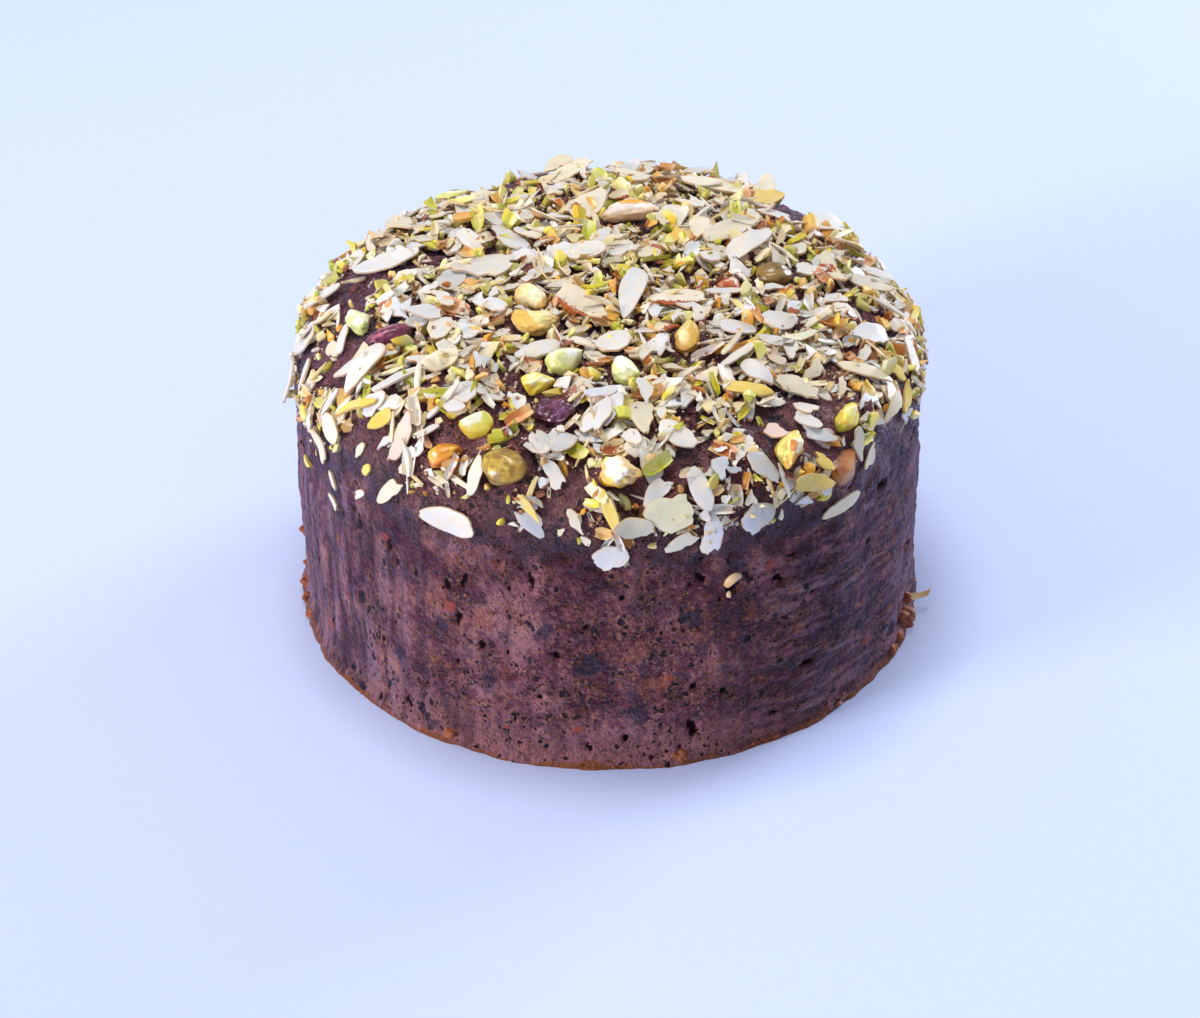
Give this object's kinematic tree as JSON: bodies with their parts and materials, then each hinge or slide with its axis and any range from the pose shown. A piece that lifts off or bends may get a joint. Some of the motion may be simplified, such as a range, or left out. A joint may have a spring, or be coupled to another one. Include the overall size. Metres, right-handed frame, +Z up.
{
  "type": "fruit cake",
  "caption": "Round dark fruit cake, uncut, with a softly domed top covered in almond flakes, chopped nuts and raisins.",
  "frame": {"origin": "centre of the flat base, on the surface that the cake stands on", "axes": "+Z up along the cake's axis; -Y is the front, the side that the reference view looks at; +X to the right of it"},
  "size_m": [0.1557, 0.1557, 0.0917],
  "materials": {
    "cake_crumb": "moist dark fruit cake crumb, satin",
    "almond_flake": "blanched almond slice, matt, ivory white",
    "raisin_dark": "dried dark fruit, waxy",
    "raisin_golden": "dried golden fruit, waxy",
    "pistachio": "shelled pistachio, smooth, yellow green",
    "toasted_nut": "toasted nut kernel, smooth, golden",
    "almond_skin": "almond with its brown skin, matt"
  },
  "bodies": {
    "root": {"cake": "cake_crumb", "raisin_dark": "raisin_dark", "raisin_golden": "raisin_golden", "raisin_olive": "raisin_golden", "cranberry": "raisin_dark", "pistachio_1": "pistachio", "pistachio_2": "pistachio", "pistachio_3": "pistachio", "pistachio_4": "pistachio", "pistachio_5": "pistachio", "pistachio_6": "pistachio", "pistachio_7": "pistachio", "pistachio_8": "pistachio", "cashew_1": "toasted_nut", "cashew_2": "toasted_nut", "peanut_1": "toasted_nut", "peanut_2": "toasted_nut", "peanut_3": "toasted_nut", "walnut_1": "toasted_nut", "walnut_2": "toasted_nut", "almond_1": "almond_skin"}
  },
  "joints": []
}
